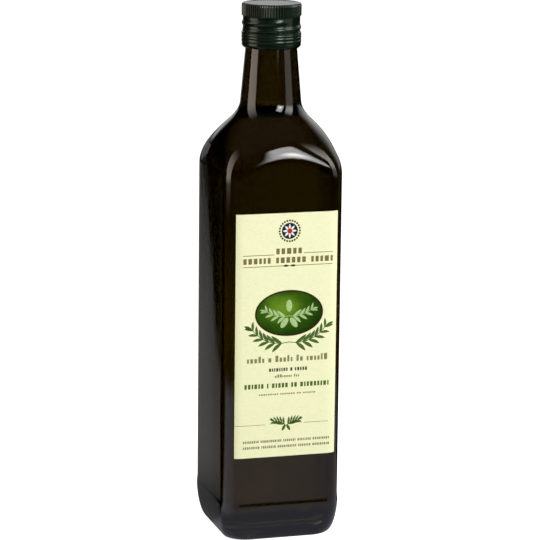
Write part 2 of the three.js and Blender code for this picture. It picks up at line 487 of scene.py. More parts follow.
@dataclass(frozen=True)
class PrintInk(Finish):
    """Matt printing ink that the paper's fibres break up a little."""

    name: str
    ink: Colour
    starved: Colour
    roughness: float = 0.5
    specular: float = 0.08
    fibre_size: float = 0.0006
    fibre_stretch: Triple = (0.4, 1, 1)
    fibre_height: float = 0.00002
    starved_band: Pair = (0.45, 0.85)

    def draw(self, book: NodeBook) -> None:
        """Draws the ink, starved where a fibre stands up.

        Args:
            book: The material's nodes.
        """
        fibres = book.noise(self.fibre_size, 3, self.fibre_stretch)
        book.surface({
            "Base Color": book.mix(fibres.rise(*self.starved_band), self.ink, self.starved),
            "Roughness": self.roughness,
            "Specular IOR Level": self.specular,
            "Normal": book.bump(fibres, self.fibre_height),
        })


@dataclass(frozen=True)
class FieldInk(Finish):
    """The green of the oval, brightest a little left of its top and mottled like a wash."""

    name: str
    centre: Pair
    reach: float
    bright: Colour = srgb(104, 140, 34)
    middle: Colour = srgb(46, 84, 6)
    dark: Colour = srgb(20, 48, 2)
    flatness: float = 2
    middle_band: Pair = (0.05, 0.75)
    dark_band: Pair = (0.6, 1.35)
    roughness: float = 0.6
    specular: float = 0.04
    wash_size: float = 0.004
    wash_stretch: Triple = (0.6, 1, 1)
    wash_height: float = 0.00003
    wash_spread: float = 0.5

    def draw(self, book: NodeBook) -> None:
        """Draws two rings of darkening round the bright spot, with a ragged border.

        Args:
            book: The material's nodes.
        """
        here = book.place()
        across = (book.along(here, "X") - self.centre[0]) / self.reach
        up = (book.along(here, "Z") - self.centre[1]) / self.reach
        wash = book.noise(self.wash_size, 3, self.wash_stretch)
        distance = (across * across + up * up * self.flatness).root() + (wash - 0.5) * self.wash_spread
        lit = book.mix(distance.rise(*self.middle_band), self.bright, self.middle)
        book.surface({
            "Base Color": book.mix(distance.rise(*self.dark_band), lit, self.dark),
            "Roughness": self.roughness,
            "Specular IOR Level": self.specular,
            "Normal": book.bump(wash, self.wash_height),
        })


@dataclass(frozen=True)
class PaleFloor(Finish):
    """A pale floor, plain white to the camera. For mirrored rays it shows a painted reflection of a white
    sheet before a dimmer table, with painted contact shadows. For rays through the glass it shows a painted
    brightness.

    A field of two numbers is a band over which a share rises from 0 to 1. The bands behind, left
    and table_right are of a unit direction from the bottle's axis along Y, -X and X. The others are
    in metres, from the axis or past the table's edge. View is the camera's direction, and
    table_edge is where the table ends on its left: its X at Y = 0, and its slope.
    """

    name: str = "pale_floor"
    shade: Colour = (0.8, 0.8, 0.8)
    roughness: float = 0.8
    cool: Colour = (0.94, 0.95, 1.15)
    view: Pair = (0.284, 0.959)
    behind: Pair = (0, 0.35)
    left: Pair = (0.5, 1)
    # Painted reflection of a white sheet before the bottle, with a painted glow near it and a painted
    # contact shadow on its left.
    painted_sheet_front: float = 0.42
    painted_sheet_left: float = 0.38
    sheet_end: Pair = (0.33, 0.41)
    sheet_glow: Pair = (0.07, 0.14)
    sheet_near: float = 1.2
    sheet_far: float = 0.92
    painted_left_shadow: Pair = (0.045, 0.095)
    painted_left_shadow_depth: float = 0.75
    # Painted reflection of a dimmer table behind the bottle, darker along its edge, with a painted contact
    # shadow near the bottle.
    painted_table_reflection: float = 0.22
    table_edge: Pair = (-0.0466, -0.2525)
    table_cut: Pair = (-0.002, 0.002)
    table_margin: Pair = (-0.015, 0)
    table_margin_depth: float = 0.45
    painted_table_shadow: Pair = (0.05, 0.17)
    painted_table_shadow_share: float = 0.45
    table_right: Pair = (0, 0.25)
    # Painted brightness of the floor seen through the glass, with a painted contact shadow near the bottle.
    painted_through_shadow: Pair = (0.045, 0.075)
    clear_end: Pair = (0.5, 0.9)
    clear_far_depth: float = 0.4
    least_reach: float = 0.0001

    def sheet(self, x: Value, reach: Value) -> Value:
        """Draws the painted reflection of a white sheet before the bottle, with a painted glow near the
        bottle and a painted contact shadow on the left.

        Args:
            x: Place across the floor, in metres.
            reach: Distance from the bottle's axis, in metres.

        Returns:
            How bright it is.
        """
        left = (x / reach * -1).rise(*self.left)
        near = 1 - reach.rise(*self.sheet_end)
        # Painted contact shadow on the left near the bottle, and a painted glow that is brighter near it.
        contact = 1 - left * (1 - reach.rise(*self.painted_left_shadow)) * self.painted_left_shadow_depth
        glow = self.sheet_near - reach.rise(*self.sheet_glow) * (self.sheet_near - self.sheet_far)
        return (left * self.painted_sheet_left + self.painted_sheet_front) * near * contact * glow

    def table(self, x: Value, y: Value, reach: Value) -> Value:
        """Draws the painted reflection of a table behind the bottle, which ends at a slanting line and
        towards the right, with a painted contact shadow near the bottle.

        Args:
            x: Place across the floor, in metres.
            y: Place along the floor, in metres.
            reach: Distance from the bottle's axis, in metres.

        Returns:
            How bright it is.
        """
        start, slope = self.table_edge
        past = y * slope + start - x
        cut = 1 - past.rise(*self.table_cut)
        margin = 1 - past.rise(*self.table_margin) * self.table_margin_depth
        # Painted contact shadow on the table's reflection near the bottle.
        contact = reach.rise(*self.painted_table_shadow, self.painted_table_shadow_share)
        return cut * margin * contact * (1 - (x / reach).rise(*self.table_right)) * self.painted_table_reflection

    def clear(self, x: Value, y: Value, reach: Value) -> Value:
        """Gives the painted brightness of the floor seen through the glass, which is less towards the sides
        and far off, with a painted contact shadow near the bottle.

        Args:
            x: Place across the floor, in metres.
            y: Place along the floor, in metres.
            reach: Distance from the bottle's axis, in metres.

        Returns:
            How bright it is.
        """
        away = (x * self.view[0] + y * self.view[1]) / reach
        far = 1 - reach.rise(*self.clear_end) * self.clear_far_depth
        return (away * away).rise(*SIDEWAYS_BAND, SIDEWAYS_SHARE) * far * reach.rise(*self.painted_through_shadow)

    def draw(self, book: NodeBook) -> None:
        """Draws a white floor for the camera, a painted reflection for mirrored rays and a painted
        brightness for refracted rays.

        Args:
            book: The material's nodes.
        """
        here = book.place()
        x, y = book.along(here, "X"), book.along(here, "Y")
        reach = (x * x + y * y).root() + self.least_reach
        behind = (y / reach).rise(*self.behind)
        mirrored = self.sheet(x, reach) * (1 - behind) + self.table(x, y, reach) * behind
        mirror = book.mix(mirrored, BLACK, book.mix(behind, self.cool, WHITE))
        clear = book.mix(self.clear(x, y, reach), BLACK, WHITE)
        seen, glossy, through = book.rays("Camera", "Glossy", "Transmission")
        # Painted light: the floor glows white to the camera, the painted reflection glows for mirrored rays
        # and the painted brightness for refracted rays.
        glow = book.mix(glossy, BLACK, book.mix(through, mirror, clear))
        book.surface({
            "Base Color": book.mix(glossy, self.shade, BLACK),
            "Roughness": self.roughness,
            "Specular IOR Level": 0.0,
            "Emission Color": book.mix(seen, glow, WHITE),
            "Emission Strength": 1.0,
        })


def new_piece(name: str, mesh: Mesh) -> bpy.types.Object:
    """Makes a smooth object with its true edges kept sharp.

    Args:
        name: The piece's name.
        mesh: Its points and faces.

    Returns:
        The object, in the scene.
    """
    points, faces = mesh
    data = bpy.data.meshes.new(name)
    data.from_pydata([tuple(p) for p in points], [], faces)
    data.shade_smooth()
    data.set_sharp_from_angle(angle=SHARP_ANGLE)
    data.update()
    piece = bpy.data.objects.new(name, data)
    bpy.context.scene.collection.objects.link(piece)
    return piece


def settle(piece: bpy.types.Object, slot: Slot, finish: Finish, *nodes: str) -> bpy.types.Object:
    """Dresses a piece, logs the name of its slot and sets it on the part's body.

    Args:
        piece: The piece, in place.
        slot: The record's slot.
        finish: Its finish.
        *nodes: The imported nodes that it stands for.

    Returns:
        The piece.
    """
    piece.data.materials.append(finish.material())
    if nodes:
        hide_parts(*nodes)
    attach(piece, BODY)
    log.info("%s: %d faces, slot %s", piece.name, len(piece.data.polygons), slot.value)
    return piece


def loft(start: float, rings: list[np.ndarray], end: float) -> Mesh:
    """Skins rings of points, closed by a point on the axis at each end.

    Args:
        start: Height of the first point on the axis, in metres.
        rings: Rings of the same number of points, each counterclockwise from above.
        end: Height of the last point on the axis, in metres.

    Returns:
        The points and the faces, which look outwards.
    """
    count = len(rings[0])
    points = np.vstack([[[0, 0, start]], *rings, [[0, 0, end]]])
    last = len(points) - 1
    faces = []
    for i in range(count):
        following = (i + 1) % count
        faces.append((0, 1 + following, 1 + i))
        for row in range(len(rings) - 1):
            low = 1 + row * count
            faces.append((low + i, low + following, low + following + count, low + i + count))
        faces.append((last, last - count + i, last - count + following))
    return points, faces


@dataclass
class BottleForm:
    """The form of the glass, outside and inside, at stations round the pillar.

    A station is a place on one of four flats, as a share from -1 to 1, and then a turn round the
    corner that follows it. Stations run counterclockwise from the left end of the front flat. The
    spans are the heights of the mesh's rings in the walls, the shoulder and the neck.
    """

    flat_steps: int = 24
    corner_steps: int = 16
    half: float = 0.03285
    corner: float = 0.0094
    heel_height: float = 0.0226
    heel_inset: float = 0.0048
    heel_corner_growth: float = 0.46
    heel_proud: float = 0.0004
    heel_turn: float = math.radians(70)
    crease_z: float = 0.0206
    crease_width_flat: float = 0.0018
    crease_width_corner: float = 0.01
    crease_edge: float = 0.00015
    push_up: float = 0.004
    push_up_share: float = 0.82
    first_share: float = 0.08
    bearing_shares: tuple[float, ...] = (0.86, 0.93, 0.985)
    shoulder_z: float = 0.2
    ledge: float = 0.0002
    ledge_height: float = 0.0006
    cone_z: float = 0.216
    cone_radius: float = 0.0329
    cone_slope: float = 1.09
    pillar_blend: float = 0.01
    neck_blend: float = 0.0048
    neck_z: float = 0.2627
    neck_radius: float = 0.01397
    neck_slope: float = 0.0892
    finish_z: float = 0.266
    finish_radius: float = 0.0141
    finish_middle: float = 0.275
    finish_top: float = 0.2874
    wall: float = 0.003
    cone_wall: float = 0.0046
    floor: float = 0.0055
    inner_heel_height: float = 0.012
    inner_heel_inset: float = 0.008
    bore_radius: float = 0.0108
    bore_slope: float = 0.07
    bore_blend: float = 0.0012
    wall_spans: tuple[Span, ...] = ((0.028, 0.196, 17), (0.1985, 0.1985, 1), (0.1998, 0.2008, 6))
    shoulder_spans: tuple[Span, ...] = ((0.2014, 0.244, 72), (0.2455, 0.2655, 16))
    inner_spans: tuple[Span, ...] = ((0.03, 0.19, 15), (0.194, 0.24, 56))
    bore_span: tuple[float, int] = (0.242, 20)
    floor_span: Span = (0.1, 0.97, 12)
    inner_heel_rings: int = 14
    under_rings: int = 14
    heel_rings: int = 18

    def __post_init__(self) -> None:
        """Works out the stations, and how flat the wall and how wide the crease is at each."""
        shares = np.linspace(-1, 1, self.flat_steps, endpoint=False)
        turns = np.linspace(0, math.pi / 2, self.corner_steps, endpoint=False)
        self.side = np.repeat(np.arange(4), self.flat_steps + self.corner_steps)
        self.share = np.tile(np.concatenate([shares, np.ones(self.corner_steps)]), 4)
        self.turn = np.tile(np.concatenate([np.zeros(self.flat_steps), turns]), 4)
        self.flatness = np.cos(2 * self.turn) ** 2
        narrowing = self.crease_width_corner - self.crease_width_flat
        self.crease_width = self.crease_width_corner - self.flatness * narrowing

    def square(self, half: np.ndarray, corner: np.ndarray) -> tuple[np.ndarray, np.ndarray]:
        """Gives a rounded square.

        Args:
            half: Half its width, in metres.
            corner: Radius of its corners, in metres.

        Returns:
            X and Y of each station.
        """
        flat = half - corner
        x = self.share * flat + corner * np.sin(self.turn)
        y = -(flat + corner * np.cos(self.turn))
        angle = self.side * math.pi / 2
        return x * np.cos(angle) - y * np.sin(angle), x * np.sin(angle) + y * np.cos(angle)

    def domed(self, half: np.ndarray, corner: np.ndarray, dome: np.ndarray, z: np.ndarray) -> np.ndarray:
        """Cuts a rounded square down to the radius of the dome at its height.

        Args:
            half: Half the square's width, in metres.
            corner: Radius of its corners, in metres.
            dome: Radius of the dome, in metres.
            z: Height of each station, in metres.

        Returns:
            The points, one a station.
        """
        x, y = self.square(half, corner)
        reach = np.hypot(x, y)
        scale = blend_min(reach, dome, self.pillar_blend) / reach
        return np.stack([x * scale, y * scale, z + 0 * x], axis=1)

    def cone(self, z: np.ndarray | float) -> np.ndarray | float:
        """Gives the radius of the shoulder's cone at a height."""
        return self.cone_radius + self.cone_slope * (self.cone_z - z)

    def outer(self, z: np.ndarray | float) -> np.ndarray:
        """Gives the outer skin.

        Args:
            z: Height, the same or one a station, in metres.

        Returns:
            The points, one a station.
        """
        z = z + 0 * self.share
        drop = np.maximum(1 - z / self.heel_height, 0)
        inset = self.heel_inset * (1 - np.sqrt(1 - drop * drop))
        rise = np.clip((z - self.crease_z) / self.crease_width + 0.5, 0, 1)
        is_side = self.side % 2
        step = smooth_step(self.shoulder_z, self.shoulder_z + self.ledge_height, z)
        ledge = is_side * self.ledge * self.flatness * step
        half = self.half + self.heel_proud * (1 - rise) - inset - ledge
        corner = self.corner + self.heel_corner_growth * inset
        neck = self.neck_radius + self.neck_slope * (self.neck_z - z)
        dome = blend_max(neck, self.cone(z), self.neck_blend)
        dome = np.where(z >= self.finish_z, self.finish_radius, dome)
        return self.domed(half, corner, dome, z)

    def underside(self, share: float) -> np.ndarray:
        """Gives the underside.

        Args:
            share: Share of the way from the axis to the bearing edge.

        Returns:
            The points, one a station.
        """
        points = self.outer(0.0) * share
        inner = min(share / self.push_up_share, 1)
        points[:, 2] = self.push_up * (1 - inner * inner)
        return points

    def inner(self, z: float, gap: float) -> np.ndarray:
        """Gives the skin of the cavity.

        Args:
            z: Height, in metres.
            gap: How far it is drawn in, in metres; below 0 it reaches into the glass.

        Returns:
            The points, one a station.
        """
        drop = max(1 - (z - gap - self.floor) / self.inner_heel_height, 0)
        inset = self.inner_heel_inset * (1 - math.sqrt(1 - drop * drop))
        half = self.half - self.wall - inset - gap
        corner = self.corner - self.wall + self.heel_corner_growth * inset - gap
        sloped = self.bore_radius + self.bore_slope * (self.neck_z - z)
        bore = blend_max(self.bore_radius, sloped, self.bore_blend)
        dome = blend_max(bore, self.cone(z) - self.cone_wall, self.neck_blend) - gap
        return self.domed(half, corner, dome, z)

    def inner_floor(self, share: float, gap: float) -> np.ndarray:
        """Gives the floor of the cavity, which rises over the push-up.

        Args:
            share: Share of the way from the axis to the wall.
            gap: How far it is drawn in, in metres.

        Returns:
            The points, one a station.
        """
        edge = self.floor + gap
        points = self.inner(edge, gap) * share
        points[:, 2] = edge + self.push_up * (1 - share * share)
        return points

    def inner_rings(self, top: float, gap: float) -> list[np.ndarray]:
        """Gives the cavity from its floor up.

        Args:
            top: Height of the last ring, in metres.
            gap: How far it is drawn in, in metres.

        Returns:
            Rings of points.
        """
        foot = self.floor + gap
        turns = spread((0, math.pi / 2, self.inner_heel_rings))
        heel = [foot + self.inner_heel_height * (1 - math.cos(turn)) for turn in turns]
        bore_start, bore_rings = self.bore_span
        heights = heel + spread(*self.inner_spans, (bore_start, top, bore_rings))
        floor = [self.inner_floor(share, gap) for share in spread(self.floor_span)]
        return floor + [self.inner(z, gap) for z in heights]

    def outer_rings(self) -> list[np.ndarray]:
        """Gives the outside from the axis under the base up to the mouth.

        Returns:
            Rings of points.
        """
        shares = [*spread((self.first_share, self.push_up_share, self.under_rings)), *self.bearing_shares]
        turns = spread((0, self.heel_turn, self.heel_rings))
        heel = [self.heel_height * (1 - math.cos(turn)) for turn in turns]
        low, high = (self.crease_z + hand * self.crease_width / 2 for hand in (-1, 1))
        crease = [edge + hand * self.crease_edge for edge in (low, high) for hand in (-1, 1)]
        heights = spread(*self.wall_spans, *self.shoulder_spans)
        finish = [self.finish_z, self.finish_middle, self.finish_top]
        under = [self.underside(share) for share in shares]
        return under + [self.outer(z) for z in (*heel, *crease, *heights, *finish)]


@dataclass
class GlassBottle:
    """The bottle's glass, with its cavity."""

    form: BottleForm
    finish: GreenGlass = field(default_factory=GreenGlass)

    def build(self) -> bpy.types.Object:
        """Makes the glass.

        Returns:
            The piece.
        """
        form = self.form
        rings = form.outer_rings() + form.inner_rings(form.finish_top, 0)[::-1]
        mesh = loft(form.push_up, rings, form.floor + form.push_up)
        return settle(new_piece("bottle_glass", mesh), Slot.GLASS, self.finish, "glass_bottle")


@dataclass
class OliveOil:
    """The oil, which reaches just into the glass so that no air shows between them."""

    form: BottleForm
    level: float
    meniscus_height: float = 0.0009
    meniscus_reach: float = 0.0013
    surface_shares: tuple[float, ...] = (1, 0.96, 0.92, 0.87, 0.8, 0.7, 0.5, 0.25)
    finish: ClearOil = field(default_factory=ClearOil)

    def top_ring(self, share: float) -> np.ndarray:
        """Gives a ring of the oil's surface, which climbs the glass a little.

        Args:
            share: Share of the way from the axis to the wall.

        Returns:
            The points, one a station.
        """
        rim = self.form.inner(self.level, -SKIN_OVERLAP)
        points = rim * share
        from_wall = np.hypot(rim[:, 0], rim[:, 1]) * (1 - share)
        points[:, 2] = self.level + self.meniscus_height * np.exp(-from_wall / self.meniscus_reach)
        return points

    def build(self) -> bpy.types.Object:
        """Makes the oil.

        Returns:
            The piece.
        """
        form = self.form
        body = form.inner_rings(self.level, -SKIN_OVERLAP)
        top = [self.top_ring(share) for share in self.surface_shares]
        mesh = loft(form.floor + form.push_up - SKIN_OVERLAP, body + top, self.level)
        return settle(new_piece("oil_fill", mesh), Slot.OIL, self.finish, "olive_oil")


@dataclass
class ScrewCap:
    """The rolled-on metal cap: a tucked-in band with beads, a rolled thread and a fluted grip.

    Beads are given by height and width, and the recess in the top by radii and shares of its depth.
    A field that ends in wear says how thin the lacquer is there, as a share. The spans are the
    heights of the mesh's rings up the side, and their angles round the top edge.
    """

    bottom: float = 0.2644
    height: float = 0.2882
    bore: float = 0.01445
    roof: float = 0.2874
    roof_radii: tuple[float, ...] = (0.005, 0.01, 0.013)
    bore_top: float = 0.287
    radius: float = 0.01605
    waist: float = 0.0153
    tuck: float = 0.0012
    tuck_height: float = 0.0017
    band_end: Pair = (0.2727, 0.273)
    beads: tuple[Pair, ...] = (
        (0.2682, 0.00045), (0.27, 0.00045), (0.2715, 0.00045), (0.2725, 0.0003),
    )
    bead_size: float = 0.0002
    bead_wear: float = 0.6
    slit_z: float = 0.2732
    slit_width: float = 0.00028
    slit_depth: float = 0.0005
    bridges: int = 18
    bridge_share: float = 0.16
    thread_z: float = 0.2733
    thread_angle: float = math.radians(163)
    thread_turns: float = 1.3
    thread_pitch: float = 0.0042
    thread_size: float = 0.0006
    thread_sharpness: float = 1.4
    thread_fade: float = 0.08
    thread_wear: float = 0.5
    grip_start: Pair = (0.2809, 0.2817)
    grip_end: float = 0.2871
    grip_radius: float = 0.016
    grip_wear: float = 0.8
    flutes: int = 72
    flute_depth: float = 0.0004
    flute_fullness: float = 0.8
    steps_a_flute: int = 8
    bore_rings: int = 8
    side_spans: tuple[Span, ...] = (
        (0.2644, 0.2661, 8), (0.2664, 0.2726, 34), (0.2727, 0.2738, 14),
        (0.2742, 0.2807, 26), (0.2809, 0.2819, 8), (0.2825, 0.2871, 10),
    )
    edge_span: Span = (math.radians(12), math.pi / 2, 9)
    edge: float = 0.0007
    edge_step: float = 0.0001
    edge_wear: float = 0.7
    recess: tuple[Pair, ...] = (
        (0.0141, 0), (0.0138, 0.3), (0.0134, 0.85), (0.0128, 1), (0.009, 1), (0.004, 1),
    )
    recess_depth: float = 0.00025
    recess_wear: float = 0.15
    finish: CapLacquer = field(default_factory=CapLacquer)

    def __post_init__(self) -> None:
        """Works out the angles of the mesh's columns."""
        count = self.flutes * self.steps_a_flute
        self.angle = np.arange(count) * 2 * math.pi / count

    def thread(self, z: float) -> np.ndarray:
        """Gives the rolled thread, a right-handed helix.

        Args:
            z: Height, in metres.

        Returns:
            How much of the ridge stands at each angle, 0 to 1.
        """
        ridge = np.zeros_like(self.angle)
        for lap in (-1, 0, 1, 2):
            turns = (self.angle - self.thread_angle) / (2 * math.pi) + lap
            middle = self.thread_z + turns * self.thread_pitch
            apart = np.clip(np.abs(z - middle) / self.thread_pitch * 2, 0, 1)
            start = smooth_step(-self.thread_fade, self.thread_fade, turns)
            end = smooth_step(-self.thread_fade, self.thread_fade, self.thread_turns - turns)
            crown = (0.5 + 0.5 * np.cos(math.pi * apart)) ** self.thread_sharpness
            ridge = np.maximum(ridge, crown * start * end)
        return ridge

    def bridge(self) -> np.ndarray:
        """Gives where the slit is bridged, 0 to 1 at each angle."""
        phase = np.abs((self.angle * self.bridges / (2 * math.pi)) % 1 - 0.5) * 2
        return smooth_step(1 - self.bridge_share * 1.5, 1 - self.bridge_share * 0.5, phase)

    def side(self, z: float) -> tuple[np.ndarray, np.ndarray]:
        """Gives the cap's side at a height.

        Args:
            z: Height, in metres.

        Returns:
            The radius in metres and the share of a crest, 0 to 1, at each angle.
        """
        tucked = max(1 - (z - self.bottom) / self.tuck_height, 0)
        bead = max(bell(z - at, width) for at, width in self.beads)
        band = self.radius - self.bead_size * (1 - bead) - self.tuck * tucked**2
        above = smooth_step(*self.band_end, z)
        grip = smooth_step(*self.grip_start, z)
        thread = self.thread(z) * (1 - grip) * above
        slit = bell(z - self.slit_z, self.slit_width)
        wave = (0.5 - 0.5 * np.cos(self.flutes * self.angle)) ** self.flute_fullness
        flute = self.flute_depth * wave * smooth_step(0, 0.5, grip)
        waist = self.waist + self.thread_size * thread - self.slit_depth * slit * (1 - self.bridge())
        upper = waist + (self.grip_radius - self.waist) * grip - flute
        wear = self.grip_wear * (1 - wave) * grip + self.thread_wear * thread
        crest = np.clip(wear + self.bead_wear * bead * (1 - above), 0, 1)
        return band + (upper - band) * above, crest

    def ring(self, radius: np.ndarray | float, z: float) -> np.ndarray:
        """Gives a ring of points, with one radius or a radius for each angle, at a height."""
        radius = radius + 0 * self.angle
        return np.stack([radius * np.cos(self.angle), radius * np.sin(self.angle), z + 0 * radius], axis=1)

    def build(self) -> bpy.types.Object:
        """Makes the cap.

        Returns:
            The piece.
        """
        rings = [self.ring(radius, self.roof) for radius in (*self.roof_radii, self.bore)]
        rings += [self.ring(self.bore, z) for z in spread((self.bore_top, self.bottom, self.bore_rings))]
        plain = 0 * self.angle
        crests = [plain for _ in rings]
        for z in spread(*self.side_spans):
            radius, crest = self.side(z)
            rings.append(self.ring(radius, z))
            crests.append(crest)
        fluted, worn = radius, crest
        for turn in spread(self.edge_span):
            pull = 1 - math.cos(turn)
            fade = 1 - smooth_step(0, 0.5, pull)
            radius = self.grip_radius + (fluted - self.grip_radius) * fade
            z = self.height - (self.height - self.grip_end) * (1 - math.sin(turn))
            rings.append(self.ring(radius - self.edge_step - self.edge * pull, z))
            crests.append(worn * fade + self.edge_wear * (1 - fade))
        for radius, share in self.recess:
            rings.append(self.ring(radius, self.height - self.recess_depth * share))
            crests.append(plain + self.recess_wear)
        piece = new_piece("cap_shell", loft(self.roof, rings, self.height - self.recess_depth))
        values = np.concatenate([[0], *crests, [self.recess_wear]]).astype(np.float32)
        piece.data.attributes.new("crest", "FLOAT", "POINT").data.foreach_set("value", values)
        return settle(piece, Slot.CAP, self.finish, "screw_cap")


@dataclass
class LabelSkin:
    """Lays lengths of the label on the glass: across from the front's middle, and up."""

    form: BottleForm
    paper_top: float = 0.0002

    @property
    def flat(self) -> float:
        """Half the width of the front flat, in metres."""
        return self.form.half - self.form.corner

    def lay(self, points: np.ndarray, offset: float) -> np.ndarray:
        """Bends a flat drawing round the glass.

        Args:
            points: Rows of length across and height, in metres.
            offset: Distance off the glass, in metres.

        Returns:
            The points in space.
        """
        across, z = points[:, 0], points[:, 1]
        turn = np.maximum(np.abs(across) - self.flat, 0) / self.form.corner
        radius = self.form.corner + offset
        x = np.sign(across) * (np.minimum(np.abs(across), self.flat) + radius * np.sin(turn))
        y = -(self.flat + radius * np.cos(turn))
        return np.stack([x, y, z], axis=1)


class InkLayer(Enum):
    """The inks in the order of their pieces, as (name, number of layers that it lies on)."""

    BROWN = ("ink_brown", 0)
    DARK = ("ink_dark", 0)
    GREY = ("ink_grey", 0)
    GREEN = ("ink_green", 0)
    FIELD = ("ink_field", 0)
    RIM = ("ink_rim", 1)
    PALE = ("ink_pale", 2)
    NAVY = ("ink_navy", 0)
    WHITE = ("ink_white", 1)
    RED = ("ink_red", 2)


@dataclass
class Drawing:
    """Thin closed shapes of one paper or ink on the label, each a ribbon between two edges.

    It lies from low to high off the glass. All lengths are in metres.
    """

    skin: LabelSkin
    low: float
    high: float
    bar_step: float = 0.0012
    spindle_steps: int = 14
    least_swell: float = 0.03
    ellipse_steps: int = 40
    least_rise: float = 0.00001
    hoop_steps: int = 72
    twig_steps: int = 15
    twig_width: float = 0.05
    leaf_places: Pair = (0.15, 0.95)
    leaf_spread: float = math.radians(38)
    leaf_width: float = 0.27
    leaf_taper: float = 0.35
    leaf_bend: float = 0.06
    tip_leaf_length: float = 0.6
    tip_leaf_width: float = 0.2
    points: list[np.ndarray] = field(default_factory=list)
    faces: list[tuple[int, ...]] = field(default_factory=list)
    count: int = 0

    def ribbon(self, right: np.ndarray, left: np.ndarray, closed: bool = False) -> None:
        """Adds a ribbon between two edges of the same number of points.

        Args:
            right: The edge on the right hand as one walks along it.
            left: The edge on the left hand.
            closed: Whether its end joins its start.
        """
        size = len(right)
        a, b, c, d = (self.count + k * size for k in range(4))
        for offset in (self.high, self.low):
            self.points += [self.skin.lay(right, offset), self.skin.lay(left, offset)]
        self.count += 4 * size
        for i in range(size if closed else size - 1):
            j = (i + 1) % size
            self.faces += [(a + i, a + j, b + j, b + i), (c + i, d + i, d + j, c + j)]
            self.faces += [(c + i, c + j, a + j, a + i), (d + i, b + i, b + j, d + j)]
        if not closed:
            end = size - 1
            self.faces += [(a, b, d, c), (a + end, c + end, d + end, b + end)]

    def between(self, across: np.ndarray, low: np.ndarray | float, high: np.ndarray | float) -> None:
        """Adds a shape between a lower and an upper edge, over the same places across."""
        self.ribbon(*(np.stack([across, 0 * across + edge], axis=1) for edge in (low, high)))

    def bar(self, left: float, right: float, bottom: float, top: float) -> None:
        """Adds an upright rectangle, given its edges."""
        steps = max(1, math.ceil((right - left) / self.bar_step))
        self.between(np.linspace(left, right, steps + 1), bottom, top)

    def rule(self, left: float, right: float, z: float, width: float) -> None:
        """Adds a level line, given its ends, its middle's height and its width."""
        self.bar(left, right, z - width / 2, z + width / 2)

    def spindle(self, start: Pair, end: Pair, width: float, bend: float = 0, fullness: float = 1) -> None:
        """Adds a leaf, an olive, a lozenge or a bead: a shape that swells between two points.

        Args:
            start: One end.
            end: The other end.
            width: Its greatest width.
            bend: How far its middle stands to the left, as a share of its length.
            fullness: 1 for a leaf, 0.5 for an oval, 2 for a shape with drawn-out tips.
        """
        share = 0.5 - 0.5 * np.cos(np.linspace(0, math.pi, self.spindle_steps + 1))
        line, _ = bowed(start, end, bend, share)
        swell = np.maximum((4 * share * (1 - share)) ** fullness, self.least_swell) * width / 2
        way = np.subtract(end, start)
        across = np.array([-way[1], way[0]]) / np.linalg.norm(way)
        self.ribbon(line - np.outer(swell, across), line + np.outer(swell, across))

    def stroke(self, line: np.ndarray, width: float) -> None:
        """Adds a line of even width.

        Args:
            line: Its points.
            width: Its width.
        """
        way = np.gradient(line, axis=0)
        across = np.stack([-way[:, 1], way[:, 0]], axis=1)
        across /= np.linalg.norm(across, axis=1)[:, None]
        self.ribbon(line - across * width / 2, line + across * width / 2)

    def ellipse(self, centre: Pair, reach: Pair) -> None:
        """Adds a filled ellipse.

        Args:
            centre: Its centre.
            reach: Half its width and half its height.
        """
        turn = np.linspace(math.pi, 0, self.ellipse_steps + 1)
        rise = np.maximum(reach[1] * np.sin(turn), self.least_rise)
        self.between(centre[0] + reach[0] * np.cos(turn), centre[1] - rise, centre[1] + rise)

    def hoop(self, centre: Pair, reach: Pair, width: float) -> None:
        """Adds a closed elliptic line.

        Args:
            centre: Its centre.
            reach: Half its outer width and half its outer height.
            width: Its width.
        """
        turn = np.linspace(0, 2 * math.pi, self.hoop_steps, endpoint=False)
        circle = np.stack([np.cos(turn), np.sin(turn)], axis=1)
        outer, inner = (centre + circle * np.subtract(reach, less) for less in (0, width))
        self.ribbon(outer, inner, closed=True)

    def branch(self, foot: Pair, tip: Pair, pairs: int, leaf: float, bend: float) -> None:
        """Adds a twig with leaves in pairs and one at its tip.

        Args:
            foot: Where the twig starts.
            tip: Where it ends.
            pairs: Number of pairs of leaves.
            leaf: Length of the largest leaf.
            bend: How far the twig's middle stands to the left, as a share of its length.
        """
        twig, _ = bowed(foot, tip, bend, np.linspace(0, 1, self.twig_steps + 1))
        self.stroke(twig, leaf * self.twig_width)
        places = np.linspace(*self.leaf_places, pairs)
        for place, root, way in zip(places, *bowed(foot, tip, bend, places)):
            size = leaf * (1 - self.leaf_taper * place)
            for hand in (1, -1):
                end = around(root, size, math.atan2(way[1], way[0]) + hand * self.leaf_spread)
                self.spindle(tuple(root), end, size * self.leaf_width, -self.leaf_bend * hand)
        way = np.subtract(tip, foot)
        end = tip + leaf * self.tip_leaf_length * way / np.linalg.norm(way)
        self.spindle(tip, tuple(end), leaf * self.tip_leaf_width)

    def piece(self, name: str) -> bpy.types.Object:
        """Makes an object of a name out of the drawing."""
        return new_piece(name, (np.vstack(self.points), self.faces))


